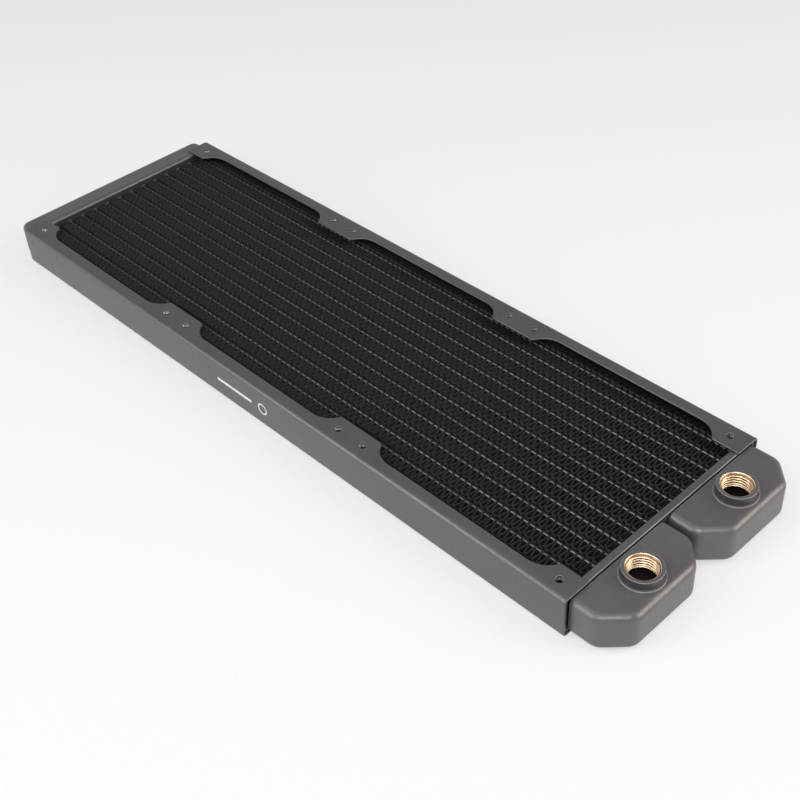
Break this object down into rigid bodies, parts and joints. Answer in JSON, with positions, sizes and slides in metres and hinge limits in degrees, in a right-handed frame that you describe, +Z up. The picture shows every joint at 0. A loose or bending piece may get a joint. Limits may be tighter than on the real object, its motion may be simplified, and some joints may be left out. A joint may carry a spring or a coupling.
{
  "type": "liquid cooling radiator",
  "caption": "Slim liquid cooling radiator for a row of standard fans, with flat tubes, folded fins, side channels and threaded ports at one end.",
  "frame": {"origin": "centre of the overall length and width, at the housing's underside, which the radiator lies on", "axes": "+X along the length towards the ports, +Y across the width, +Z up through the thickness, the way the ports face"},
  "size_m": [0.3938, 0.119, 0.0225],
  "materials": {
    "housing_paint": "satin powder coat, dark grey",
    "tank_paint": "satin powder coat, dark grey",
    "tube_paint": "thin satin black paint",
    "fin_paint": "thin satin black paint over copper",
    "brass": "machined, painted outside and bare in the thread"
  },
  "bodies": {
    "root": {"side_channel_left": "housing_paint", "side_channel_right": "housing_paint", "header_plate_port": "housing_paint", "header_plate_return": "housing_paint", "header_divider": "housing_paint", "port_tank_left": "tank_paint", "port_tank_right": "tank_paint", "return_tank": "tank_paint", "port_bushing_left": "brass", "port_bushing_right": "brass", "tube_01": "tube_paint", "tube_02": "tube_paint", "tube_03": "tube_paint", "tube_04": "tube_paint", "tube_05": "tube_paint", "tube_06": "tube_paint", "tube_07": "tube_paint", "tube_08": "tube_paint", "tube_09": "tube_paint", "tube_10": "tube_paint", "tube_11": "tube_paint", "tube_12": "tube_paint", "tube_13": "tube_paint", "tube_14": "tube_paint", "fin_strip_01": "fin_paint", "fin_strip_02": "fin_paint", "fin_strip_03": "fin_paint", "fin_strip_04": "fin_paint", "fin_strip_05": "fin_paint", "fin_strip_06": "fin_paint", "fin_strip_07": "fin_paint", "fin_strip_08": "fin_paint", "fin_strip_09": "fin_paint", "fin_strip_10": "fin_paint", "fin_strip_11": "fin_paint", "fin_strip_12": "fin_paint", "fin_strip_13": "fin_paint", "fin_strip_14": "fin_paint", "fin_strip_15": "fin_paint"}
  },
  "joints": []
}
